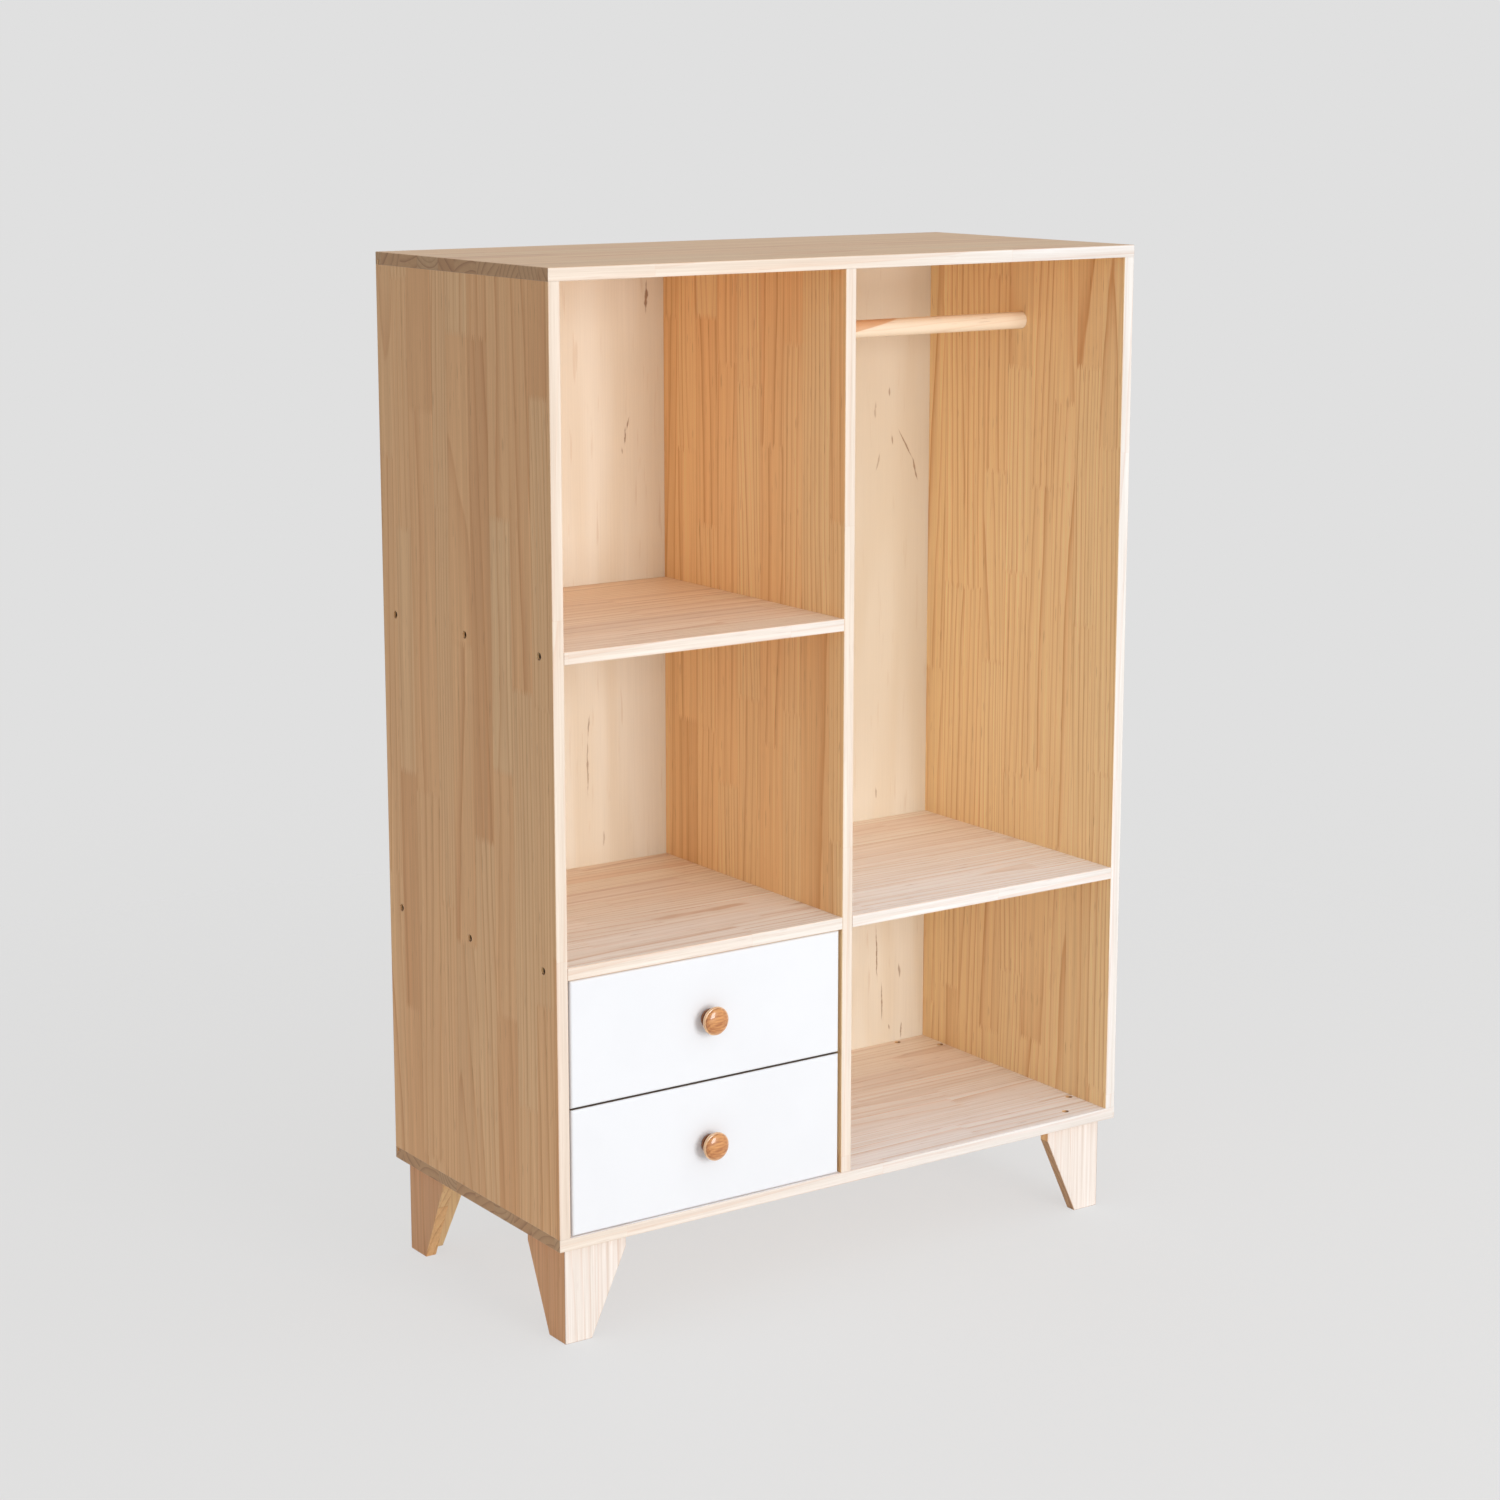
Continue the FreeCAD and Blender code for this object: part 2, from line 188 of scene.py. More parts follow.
def stave_layout_group():
    group, inner, outer = new_group(
        "Stave layout",
        {"Place": "Vector", "Stave Width": "Float", "Stave Length": "Float", "Seed": "Float"},
        {"Tones": "Vector", "Across": "Float", "Seam": "Float"})
    across, along, _ = parts_of(group, inner["Place"])
    widths = calc(group, "DIVIDE", across, inner["Stave Width"])
    even_rows = calc(group, "MULTIPLY_ADD", inner["Seed"], row_offset, widths)
    wobble = add(group, "TexNoise", {"W": even_rows, "Scale": row_wobble, "Detail": 0.0},
                 noise_dimensions="1D").outputs[0]
    rows = calc(group, "MULTIPLY_ADD", wobble, wobble_share, even_rows)
    row = calc(group, "FLOOR", rows)
    row_key = calc(group, "MULTIPLY_ADD", inner["Seed"], key_offset, row)
    start, size, _ = parts_of(group, random_of(group, row_key)[1])
    length = times(group, inner["Stave Length"], between(group, size, *length_shares))

    half_pitch = finger_pitch / 2
    zigzag = times(group, calc(group, "PINGPONG", across, half_pitch), finger_length / half_pitch)
    lengths = calc(group, "DIVIDE", calc(group, "ADD", along, zigzag), length)
    run = calc(group, "MULTIPLY_ADD", start, start_offset, lengths)
    stave = calc(group, "FLOOR", run)
    tones = add(group, "TexWhiteNoise", {"Vector": joined(group, row, stave, row_key)}).outputs[1]

    row_share = calc(group, "SUBTRACT", rows, row)
    run_share = calc(group, "SUBTRACT", run, stave)
    seams = []
    for share, span in ((row_share, inner["Stave Width"]), (run_share, length)):
        to_edge = calc(group, "MINIMUM", share, calc(group, "SUBTRACT", 1.0, share))
        seams.append(step_up(group, times(group, to_edge, span), 0.0, glue_line, 1.0, 0.0))
    from_middle = times(group, calc(group, "SUBTRACT", row_share, 0.5), inner["Stave Width"])
    give(group, outer, Tones=tones, Across=from_middle, Seam=calc(group, "MAXIMUM", *seams))
    return group


stave_layout = stave_layout_group()
print("group:", stave_layout.name, len(stave_layout.nodes), "nodes")

# %% [markdown]
# ## Growth rings
# A saw cuts a stave out of a trunk, and the grain on its face is where the trunk's rings meet that cut. So
# the honest way to draw grain is to keep the trunk: pick a heart for each stave, measure the distance to it,
# and let every few millimetres of distance be a year. Lines, flame shapes and the arcs on a sawn end then
# come by themselves. Each year darkens slowly into latewood and breaks off sharply. Wood near the heart is
# browner.

# %% Node group: growth rings
stave_offset = (5.0, 7.0, 3.0)
bow, bow_lumps = 0.01, (9.0, 1.7, 9.0)
ripple, ripple_lumps = 0.0012, (45.0, 9.0, 45.0)
slant, heart_aside = 0.025, 0.085
heart_depths, heart_radii, heart_chance = (0.018, 0.088), (0.03, 0.05), (0.76, 0.8)
year_shares, year_offset = (0.6, 1.4), 91.0
ripening_power, winter_start, weakest_line = 5.0, 0.94, 0.5


def growth_rings_group():
    group, inner, outer = new_group(
        "Growth rings",
        {"Place": "Vector", "Across": "Float", "Tones": "Vector", "Ring Spacing": "Float"},
        {"Latewood": "Float", "Heartwood": "Float"})
    _, along, through = parts_of(group, inner["Place"])
    first, second, third = parts_of(group, inner["Tones"])
    own_place = vector_calc(group, "MULTIPLY_ADD", inner["Tones"], stave_offset, inner["Place"])
    bend = between(group, cloud(group, own_place, bow_lumps, 1.0), -bow, bow)
    waver = between(group, cloud(group, own_place, ripple_lumps, 2.0), -ripple, ripple)
    lean = times(group, along, between(group, third, -slant, slant))

    heart_across = between(group, first, -heart_aside, heart_aside)
    heart_depth = between(group, second, *heart_depths)
    heart_side = calc(group, "SIGN", calc(group, "SUBTRACT", third, 0.5))
    aside = calc(group, "SUBTRACT", inner["Across"], heart_across)
    deep = calc(group, "SUBTRACT", through, times(group, heart_depth, heart_side))
    straight = vector_calc(group, "LENGTH", joined(group, aside, deep, 0.0))
    radius = calc(group, "ADD", calc(group, "ADD", straight, bend), calc(group, "ADD", waver, lean))

    spacing = times(group, inner["Ring Spacing"], between(group, second, *year_shares))
    years = calc(group, "DIVIDE", radius, spacing)
    year = calc(group, "FLOOR", years)
    season = calc(group, "SUBTRACT", years, year)
    ripening = calc(group, "POWER", season, ripening_power)
    winter = step_up(group, season, winter_start, 1.0, 1.0, 0.0)
    harvest = random_of(group, calc(group, "MULTIPLY_ADD", first, year_offset, year))[0]
    latewood = times(group, ripening, winter, between(group, harvest, weakest_line, 1.0))
    has_heart = step_up(group, third, *heart_chance)
    heartwood = times(group, step_up(group, radius, *heart_radii, 1.0, 0.0), has_heart)
    give(group, outer, Latewood=latewood, Heartwood=heartwood)
    return group


growth_rings = growth_rings_group()
print("group:", growth_rings.name, len(growth_rings.nodes), "nodes")

# %% [markdown]
# ## Fibres and resin
# Close up, pine shows hair-fine fibres that all run along the board, and short brown dashes where a resin
# canal was cut open. Both are noise that is stretched hard in one direction. They sit in one group, because
# boards, plywood, the rod and the knobs all need them.

# %% Node group: fibres
fibre_lumps, streak_lumps = (620.0, 9.0, 620.0), (150.0, 1.8, 150.0)
dash_lumps, drift_lumps = (380.0, 26.0, 380.0), (24.0, 1.6, 24.0)
dash_steps, coarse = (0.66, 0.78), 0.6


def fibres_group():
    group, inner, outer = new_group(
        "Fibres", {"Place": "Vector"},
        {"Fibre": "Float", "Streaks": "Float", "Dashes": "Float", "Drift": "Float"})
    place = inner["Place"]
    give(group, outer,
         Fibre=cloud(group, place, fibre_lumps, 3.0, coarse),
         Streaks=cloud(group, place, streak_lumps, 2.0, coarse),
         Dashes=step_up(group, cloud(group, place, dash_lumps, 1.0), *dash_steps),
         Drift=cloud(group, place, drift_lumps))
    return group


fibres = fibres_group()
print("group:", fibres.name, len(fibres.nodes), "nodes")

# %% [markdown]
# ## Eased and handled edges
# Nobody sells a board with a knife edge: a joiner runs sandpaper along it, and hands polish it further. The
# solids carry the larger roundings. The last half millimetre is shading: a Bevel node turns the normal near
# an edge, and where it differs from the flat normal there is an edge, which gives a mask for wear at the same
# time.

# %% Node group: eased edges
bevel_samples, edge_steps = 6, (0.78, 0.99)


def eased_edges_group():
    group, inner, outer = new_group("Eased edges", {"Radius": "Float"}, {"Normal": "Vector", "Edge": "Float"})
    rounded = add(group, "Bevel", {"Radius": inner["Radius"]}, samples=bevel_samples).outputs[0]
    flat = add(group, "NewGeometry").outputs["Normal"]
    likeness = vector_calc(group, "DOT_PRODUCT", rounded, flat)
    give(group, outer, Normal=rounded, Edge=step_up(group, likeness, *edge_steps, 1.0, 0.0))
    return group


eased_edges = eased_edges_group()
print("group:", eased_edges.name, len(eased_edges.nodes), "nodes")

# %% [markdown]
# ## The pine itself
# Staves, rings and fibres now become colour. Each stave takes a tone between straw and rose, and a tint can
# lie over it, mostly painted light and shade. Latewood and heartwood darken the stave, and the glue lines
# draw a faint thread. A sawn end drinks the oil and turns brown, and the same input also carries painted
# shade. The group also gives a roughness and a height, so that latewood stands a little proud and shinier, as
# it does after sanding.

# %% Colours and strengths of the pine
stave_tones = {0.0: screen_colour(254, 217, 164), 0.33: screen_colour(254, 208, 151),
               0.78: screen_colour(253, 202, 143), 1.0: screen_colour(232, 177, 118)}
latewood_brown = screen_colour(204, 132, 66)
heartwood_brown = screen_colour(216, 152, 94)
end_brown = screen_colour(176, 140, 112)
resin_brown = screen_colour(150, 92, 50)
heart_shares, end_shares = (0.15, 0.35), (0.7, 1.0)
line_share, dash_share, seam_share, arc_share = 0.9, 0.3, 0.25, 0.5
fibre_shades, streak_shades = (0.85, 1.15), (0.83, 1.17)
green_power, blue_power, late_height = 1.3, 1.6, 0.5
late_roughness, fibre_roughness, end_roughness = (0.43, 0.35), 0.12, 0.2
print("stave tones:", len(stave_tones))

# %% Node group: pine
def pine_group():
    group, inner, outer = new_group(
        "Pine",
        {"Place": "Vector", "Tint": "Color", "Tint Share": "Float", "Line": "Color", "Grain": "Float",
         "Sawn End And Shade": "Float", "Seed": "Float", "Stave Width": "Float", "Stave Length": "Float",
         "Ring Spacing": "Float"},
        {"Color": "Color", "Roughness": "Float", "Height": "Float"})
    place, grain, end_and_shade = inner["Place"], inner["Grain"], inner["Sawn End And Shade"]
    layout = use_group(group, stave_layout, {
        name: inner[name] for name in ("Place", "Stave Width", "Stave Length", "Seed")})
    rings = use_group(group, growth_rings, {
        "Place": place, "Across": layout["Across"], "Tones": layout["Tones"],
        "Ring Spacing": inner["Ring Spacing"]})
    threads = use_group(group, fibres, {"Place": place})
    first, second, _ = parts_of(group, layout["Tones"])
    late, fibre = rings["Latewood"], threads["Fibre"]

    ramp = add(group, "ValToRGB", {0: second})
    for spot in list(stave_tones)[1:-1]:
        ramp.color_ramp.elements.new(spot)
    for element, tone in zip(ramp.color_ramp.elements, stave_tones.values()):
        element.color = tone
    colour = blend_colour(group, inner["Tint Share"], ramp.outputs[0], inner["Tint"])
    brown = times(group, rings["Heartwood"], between(group, first, *heart_shares), grain)
    colour = blend_colour(group, brown, colour, heartwood_brown)
    colour = blend_colour(group, times(group, late, grain, line_share), colour, inner["Line"])
    shade = times(group, between(group, fibre, *fibre_shades),
                  between(group, threads["Streaks"], *streak_shades))
    green, blue = (calc(group, "POWER", shade, power) for power in (green_power, blue_power))
    colour = blend_colour(group, 1.0, colour, joined(group, shade, green, blue), "MULTIPLY")
    colour = blend_colour(group, times(group, threads["Dashes"], grain, dash_share), colour, resin_brown)
    colour = blend_colour(group, times(group, layout["Seam"], grain, seam_share), colour, latewood_brown)
    colour = blend_colour(group, times(group, end_and_shade, between(group, late, *end_shares)), colour, end_brown)
    colour = blend_colour(group, times(group, late, end_and_shade, arc_share), colour, resin_brown)

    gloss = between(group, late, *late_roughness)
    rough = calc(group, "MULTIPLY_ADD", fibre, fibre_roughness, gloss)
    rough = calc(group, "MULTIPLY_ADD", end_and_shade, end_roughness, rough)
    height = calc(group, "MULTIPLY_ADD", late, late_height, fibre)
    height = calc(group, "SUBTRACT", height, calc(group, "ADD", threads["Dashes"], layout["Seam"]))
    give(group, outer, Color=colour, Roughness=rough, Height=height)
    return group


pine = pine_group()
print("group:", pine.name, len(pine.nodes), "nodes")

# %% [markdown]
# ## Tools for a finish
# A finish is a material: a Principled shader with a colour, a roughness and a normal. The normal is the same
# idea everywhere, a fine bump over eased edges, so one helper makes it. The solids' objects sit at the
# origin, so their Object coordinate is a place in metres, and nothing has to be unwrapped.

# %% Finish helpers
def new_finish(name):
    """An empty material with its tree and its shader."""
    finish = bpy.data.materials.new(name)
    finish.use_nodes = True
    tree = finish.node_tree
    shader = tree.nodes["Principled BSDF"]
    return finish, tree, shader


def surface_normal(tree, shader, height, distance, strength, edge_radius):
    """Wires a bump over eased edges to the shader and returns the edge mask."""
    edges = use_group(tree, eased_edges, {"Radius": edge_radius})
    inputs = {"Strength": strength, "Distance": distance, "Height": height, "Normal": edges["Normal"]}
    tree.links.new(add(tree, "Bump", inputs).outputs[0], shader.inputs["Normal"])
    return edges["Edge"]


def wire(tree, shader, colour, roughness):
    """Sends a colour and a roughness to the shader."""
    tree.links.new(colour, shader.inputs["Base Color"])
    tree.links.new(roughness, shader.inputs["Roughness"])


def dress(node, finish):
    """Puts a finish on a CAD node's material slots."""
    for slot in nodes[node].material_slots:
        slot.material = finish


print("finish helpers ready")

# %% [markdown]
# ## Painted light and shade for every face
# Light changes a board face by face, and here that light and shade is painted into the colour. The
# shelves get painted light, most of all near the front. The inner faces of the uprights get a paler straw as
# painted light, the top a duller tan and the outer sides and legs a deeper tan as painted shade, and the front
# edges an almost white painted highlight, more so to the right. Painting faces one by one would need a
# picture. The normal already says which way a face looks, so a soft threshold on it makes a mask, and the
# mask mixes in a tint under the grain.

# %% Painted light and shade by the way a face looks
top_shade_tan = screen_colour(224, 194, 164)
outer_shade_tan = screen_colour(224, 167, 121)
lit_straw = screen_colour(255, 227, 177)
light_and_tone_blush = screen_colour(250, 245, 241)
x_axis, y_axis, z_axis = 0, 1, 2
# Painted light: the back board of the back left leg is lifted towards a pale straw.
base_light_and_shade_tints = {"top_panel": top_shade_tan, "back_left_leg_back_board": lit_straw}
base_light_and_shade_shares = {"back_left_leg_back_board": 0.9}
drawer_share = 0.4
# Each face: its axis, which way along it, its painted light or shade tint, and how much of the tint shows.
face_light_and_shade = {
    "top_panel": [(z_axis, 1, top_shade_tan, 0.6)],
    "left_side": [(x_axis, 1, light_and_tone_blush, 0.7), (x_axis, -1, outer_shade_tan, 0.4)],
    "divider": [(x_axis, 1, light_and_tone_blush, 0.7), (x_axis, -1, lit_straw, 0.25)],
    "right_side": [(x_axis, -1, lit_straw, 0.7), (x_axis, 1, outer_shade_tan, 0.4)],
}
leg_shade_share, leg_shade_steps = 0.85, (0.7, 0.95)
turn_steps = (0.4, 0.9)


def faces(tree, facing, way=1):
    """A mask of the faces that look along an axis, or against it where way is -1."""
    return step_up(tree, times(tree, facing, way), *turn_steps)


def lit_and_shaded_tint(tree, node, facing):
    """The painted light and shade of a plain board, as a tint and its share."""
    tint, share = base_light_and_shade_tints.get(node, light_and_tone_blush), base_light_and_shade_shares.get(node, 0.0)
    if "_drawer_" in node:
        share = drawer_share
    if node.endswith("leg_side_board"):
        # Painted shade: the leg side boards turn a deeper tan where they face sideways.
        sideways = calc(tree, "ABSOLUTE", facing[x_axis])
        tint, share = outer_shade_tan, step_up(tree, sideways, *leg_shade_steps, 0.0, leg_shade_share)
    # Painted light and shade: each face mask mixes in a lighter or darker tint by the way the face looks.
    for axis, way, tone, depth in face_light_and_shade.get(node, []):
        mask = faces(tree, facing[axis], way)
        tint = blend_colour(tree, mask, tint, tone)
        share = calc(tree, "MULTIPLY_ADD", mask, depth, share)
    return tint, share


print("boards with a tint of their own:", len(face_light_and_shade))

# %% Painted light on the shelves
right_light_blush = screen_colour(252, 250, 252)
lit_shelf_line = screen_colour(204, 160, 124)
lit_right_line = screen_colour(220, 186, 160)
shelf_light_shares = {"upper_shelf": 0.7, "drawer_shelf": 0.95, "right_shelf": 1.0, "bottom_panel": 1.0}
shelf_back_light_share, under_light_share = 0.6, 0.3


def shelf_light_tint(tree, node, place, facing):
    """The tint, share and grain colour of a shelf: painted light above, most at the front, and faintly below.
    """
    low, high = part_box(node)
    half_depth, pale = (high.y - low.y) / 2, shelf_light_shares[node]
    across = parts_of(tree, place)[0]
    # Painted light: shelf tops are paler towards the front, and their undersides get a faint share.
    painted_light = step_up(tree, across, -half_depth, half_depth, pale, pale * shelf_back_light_share)
    lying = faces(tree, facing[z_axis])
    hanging = times(tree, faces(tree, facing[z_axis], -1), under_light_share)
    share = calc(tree, "MAXIMUM", hanging, times(tree, lying, painted_light))
    on_right = node in ("right_shelf", "bottom_panel")
    line = blend_colour(tree, lying, latewood_brown, lit_right_line if on_right else lit_shelf_line)
    return right_light_blush if on_right else light_and_tone_blush, share, line


print("bleached shelves:", len(shelf_light_shares))

# %% Painted highlight on the front edges
highlight_and_wear_cream = screen_colour(226, 213, 200)
front_highlight_white = screen_colour(229, 227, 225)
leg_highlight_cream = screen_colour(231, 224, 219)
front_highlight_share, highlight_grain = 0.92, 0.3
highlight_reach = 0.003
shelf_highlight_steps, panel_highlight_steps = (-0.6, 0.3), (-0.1, 0.3)


def add_front_highlight(tree, node, facing, tint, share):
    """Adds a painted highlight on a board's front edge to its tint and share, and says how much grain is left
    there.
    """
    sideways, depth, _ = parts_of(tree, add(tree, "TexCoord").outputs["Object"])
    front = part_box(node)[0].y
    # Painted highlight: forward faces in the first millimetres of the front turn almost white, whiter to the
    # right, with less grain.
    at_front = step_up(tree, depth, front + highlight_reach, front + 2 * highlight_reach, 1.0, 0.0)
    forward = times(tree, at_front, faces(tree, facing[y_axis], -1))
    paling = step_up(tree, sideways, *(shelf_highlight_steps if node in shelf_light_shares else panel_highlight_steps))
    highlight_tone = blend_colour(tree, paling, highlight_and_wear_cream, front_highlight_white)
    tint = blend_colour(tree, forward, tint, leg_highlight_cream if "leg" in node else highlight_tone)
    share = calc(tree, "MAXIMUM", share, times(tree, forward, front_highlight_share))
    return tint, share, between(tree, forward, 1.0, highlight_grain)


print("front edges reach back", highlight_reach, "m")

# %% [markdown]
# ## A finish for every board
# Grain runs along a board, so a board has to say which way it lies. Each gets its own copy of the pine with
# its own axes, middle and seed: no two boards of a real wardrobe come from the same place in the glued panel,
# and a shared pattern would give the trick away. `board_axes` lists across, along and through for each kind
# of board.

# %% The way each board lies
drawers, sides = ("upper", "lower"), ("left", "right")
board_axes = {
    "yxz": ["top_panel", "bottom_panel", "upper_shelf", "drawer_shelf", "right_shelf"],
    "yzx": ["left_side", "divider", "right_side"]
        + [f"{end}_{side}_leg_side_board" for end in ("front", "back") for side in sides],
    "xzy": [f"{end}_{side}_leg_{end}_board" for end in ("front", "back") for side in sides],
    "zyx": [f"{drawer}_drawer_{side}_side" for drawer in drawers for side in sides],
    "zxy": [f"{drawer}_drawer_back" for drawer in drawers],
}
boards = [(node, axes) for axes, names in board_axes.items() for node in names]


def board_place(tree, node, axes):
    """Place on a board as across, along and through from its middle, and its facing by axis and along it."""
    low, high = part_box(node)
    coordinates = add(tree, "TexCoord").outputs
    place = parts_of(tree, vector_calc(tree, "SUBTRACT", coordinates["Object"], (low + high) / 2))
    facing = parts_of(tree, coordinates["Normal"])
    order = ["xyz".index(axis) for axis in axes]
    return joined(tree, *[place[axis] for axis in order]), facing, facing[order[1]]


print("boards:", len(boards))

# %% Pine boards
stave_width, stave_length, ring_spacing = 0.046, 0.42, 0.0105
end_steps, taper_shade_steps = (0.5, 0.9), (-0.34, -0.25)
handled_share = 0.22
first_seed, seed_step = 1.0, 1.37


def pine_finish(node, axes, seed):
    """Oiled pine for one board."""
    finish, tree, shader = new_finish("pine." + node)
    place, facing, facing_along = board_place(tree, node, axes)
    tint, share = lit_and_shaded_tint(tree, node, facing)
    line, grain = latewood_brown, 1.0
    if node in shelf_light_shares:
        tint, share, line = shelf_light_tint(tree, node, place, facing)
    # The front edges get their painted highlight, but not on drawer boxes, leg side boards or the back legs.
    if not ("_drawer_" in node or node.endswith("leg_side_board") or node.startswith("back")):
        tint, share, grain = add_front_highlight(tree, node, facing, tint, share)
    end_and_taper_shade = step_up(tree, calc(tree, "ABSOLUTE", facing_along), *end_steps)
    # Painted shade: the downward tapered faces of the leg front boards take the brown of a sawn end.
    if node.endswith("leg_front_board"):
        taper_shade = step_up(tree, facing[z_axis], *taper_shade_steps, 1.0, 0.0)
        end_and_taper_shade = calc(tree, "MAXIMUM", end_and_taper_shade, taper_shade)
    board = use_group(tree, pine, {
        "Place": place, "Tint": tint, "Tint Share": share, "Line": line, "Grain": grain, "Sawn End And Shade": end_and_taper_shade,
        "Seed": seed, "Stave Width": stave_width, "Stave Length": stave_length, "Ring Spacing": ring_spacing})
    edge = surface_normal(tree, shader, board["Height"], distance=0.0002, strength=0.35, edge_radius=0.0012)
    handled = blend_colour(tree, times(tree, edge, handled_share), board["Color"], highlight_and_wear_cream)
    wire(tree, shader, handled, board["Roughness"])
    shader.inputs["Specular IOR Level"].default_value = 0.45
    return finish


for number, (node, axes) in enumerate(boards):
    dress(node, pine_finish(node, axes, first_seed + number * seed_step))
print("pine boards dressed:", len(boards))

# %% [markdown]
# ## Plywood
# A veneer is peeled off a turning log like paper off a roll, so its figure is broad, pale and cloudy instead
# of lined. What catches the eye on the back are dark, narrow bark streaks that follow the grain. They are few
# and each has its place, so one small group draws a streak, and the back uses it once for every streak on the
# real sheet. Its right leaf gets painted shade higher up, and its rear is a plain leaf without marks. The
# drawer bottoms and the hidden tongues between the uprights and the panels are cut from the same kind of
# sheet.

# %% Node group: bark streak
streak_sway, sway_lumps = 0.002, (2.0, 50.0, 0.0)
ragged_lumps = (90.0, 110.0, 0.0)
mask_steps = (-0.25, 0.75)


def bark_streak_group():
    group, inner, outer = new_group(
        "Bark streak",
        {"Place": "Vector", "Top": "Vector", "Bottom": "Vector", "Half Width": "Float"}, {"Mask": "Float"})
    across, along, _ = parts_of(group, inner["Place"])
    top_across, top_along, _ = parts_of(group, inner["Top"])
    bottom_across, bottom_along, _ = parts_of(group, inner["Bottom"])
    drop = calc(group, "SUBTRACT", top_along, bottom_along)
    share = calc(group, "DIVIDE", calc(group, "SUBTRACT", top_along, along), drop)
    lean = times(group, share, calc(group, "SUBTRACT", bottom_across, top_across))
    sway = between(group, cloud(group, inner["Place"], sway_lumps), -streak_sway, streak_sway)
    line = calc(group, "ADD", calc(group, "ADD", top_across, lean), sway)
    away = calc(group, "ABSOLUTE", calc(group, "SUBTRACT", across, line))
    belly = times(group, share, calc(group, "SUBTRACT", 1.0, share), 4.0)
    ragged = times(group, belly, cloud(group, inner["Place"], ragged_lumps))
    width = times(group, inner["Half Width"], ragged, 2.0)
    spare = calc(group, "DIVIDE", calc(group, "SUBTRACT", width, away), inner["Half Width"])
    give(group, outer, Mask=step_up(group, spare, *mask_steps))
    return group


bark_streak = bark_streak_group()
print("group:", bark_streak.name, len(bark_streak.nodes), "nodes")

# %% Node group: peeled veneer
veneer_cream = screen_colour(244, 235, 218)
veneer_tan = screen_colour(237, 224, 202)
fleck_brown = screen_colour(196, 156, 112)
roll_lumps, wave_turns = (7.0, 0.9, 7.0), 46.0
wave_share, drift_share, tan_steps = 0.22, 0.7, (0.1, 0.75)
tick_lumps, tick_steps, tick_share = (160.0, 13.0, 160.0), (0.63, 0.75), 0.2
veneer_shades, veneer_roughness = (0.94, 1.06), (0.46, 0.6)


def veneer_group():
    group, inner, outer = new_group(
        "Peeled veneer", {"Place": "Vector"}, {"Color": "Color", "Roughness": "Float", "Height": "Float"})
    threads = use_group(group, fibres, {"Place": inner["Place"]})
    waves = calc(group, "SINE", times(group, cloud(group, inner["Place"], roll_lumps), wave_turns))
    figure = calc(group, "MULTIPLY_ADD", waves, wave_share, times(group, threads["Drift"], drift_share))
    colour = blend_colour(group, step_up(group, figure, *tan_steps), veneer_cream, veneer_tan)
    ticks = step_up(group, cloud(group, inner["Place"], tick_lumps), *tick_steps)
    colour = blend_colour(group, times(group, ticks, tick_share), colour, fleck_brown)
    colour = shaded(group, colour, between(group, threads["Fibre"], *veneer_shades))
    give(group, outer, Color=colour, Roughness=between(group, threads["Fibre"], *veneer_roughness),
         Height=calc(group, "SUBTRACT", threads["Fibre"], ticks))
    return group


veneer = veneer_group()
print("group:", veneer.name, len(veneer.nodes), "nodes")

# %% Plywood
veneer_painted_shade = screen_colour(213, 196, 171)
veneer_rear = screen_colour(252, 216, 170)
bark_brown = screen_colour(146, 106, 72)
millimetre = 0.001
leaf_joint, leaf_fade = -0.0125, 0.01
leaf_shade_steps, leaf_shade_share, rear_share = (0.35, 0.65), 0.55, 0.6


def plywood_finish(name, axes, marks):
    """Pale veneered sheet with any bark streaks it has."""
    finish, tree, shader = new_finish(name)
    coordinates = add(tree, "TexCoord").outputs
    spots = parts_of(tree, coordinates["Object"])
    place = joined(tree, *[spots["xyz".index(axis)] for axis in axes])
    sheet = use_group(tree, veneer, {"Place": place})
    rearward = faces(tree, parts_of(tree, coordinates["Normal"])[y_axis])
    in_sight = calc(tree, "SUBTRACT", 1.0, rearward)
    colour = blend_colour(tree, times(tree, rearward, rear_share), sheet["Color"], veneer_rear)
    # Painted shade: the right leaf of the back darkens from half height up.
    right_leaf = step_up(tree, spots[x_axis], leaf_joint - leaf_fade, leaf_joint + leaf_fade, 0.0, leaf_shade_share)
    leaf_shade = times(tree, right_leaf, step_up(tree, spots[z_axis], *leaf_shade_steps), in_sight)
    colour = blend_colour(tree, leaf_shade, colour, veneer_painted_shade)
    for top_x, top_z, bottom_x, bottom_z, half_width, dark in marks:
        streak = use_group(tree, bark_streak, {
            "Place": place, "Top": (top_x * millimetre, top_z * millimetre, 0.0),
            "Bottom": (bottom_x * millimetre, bottom_z * millimetre, 0.0),
            "Half Width": half_width * millimetre})
        colour = blend_colour(tree, times(tree, streak["Mask"], dark, in_sight), colour, bark_brown)
    surface_normal(tree, shader, sheet["Height"], distance=0.0002, strength=0.25, edge_radius=0.0006)
    wire(tree, shader, colour, sheet["Roughness"])
    return finish


drawer_sheet = plywood_finish("veneered drawer bottom", "xyz", [])
tongue_sheet = plywood_finish("tongue plywood", "yxz", [])
for node, sheet in (("upper_drawer_bottom", drawer_sheet), ("lower_drawer_bottom", drawer_sheet),
                    ("top_tongues", tongue_sheet), ("bottom_tongues", tongue_sheet)):
    dress(node, sheet)
print("plywood: drawer bottoms and tongues")

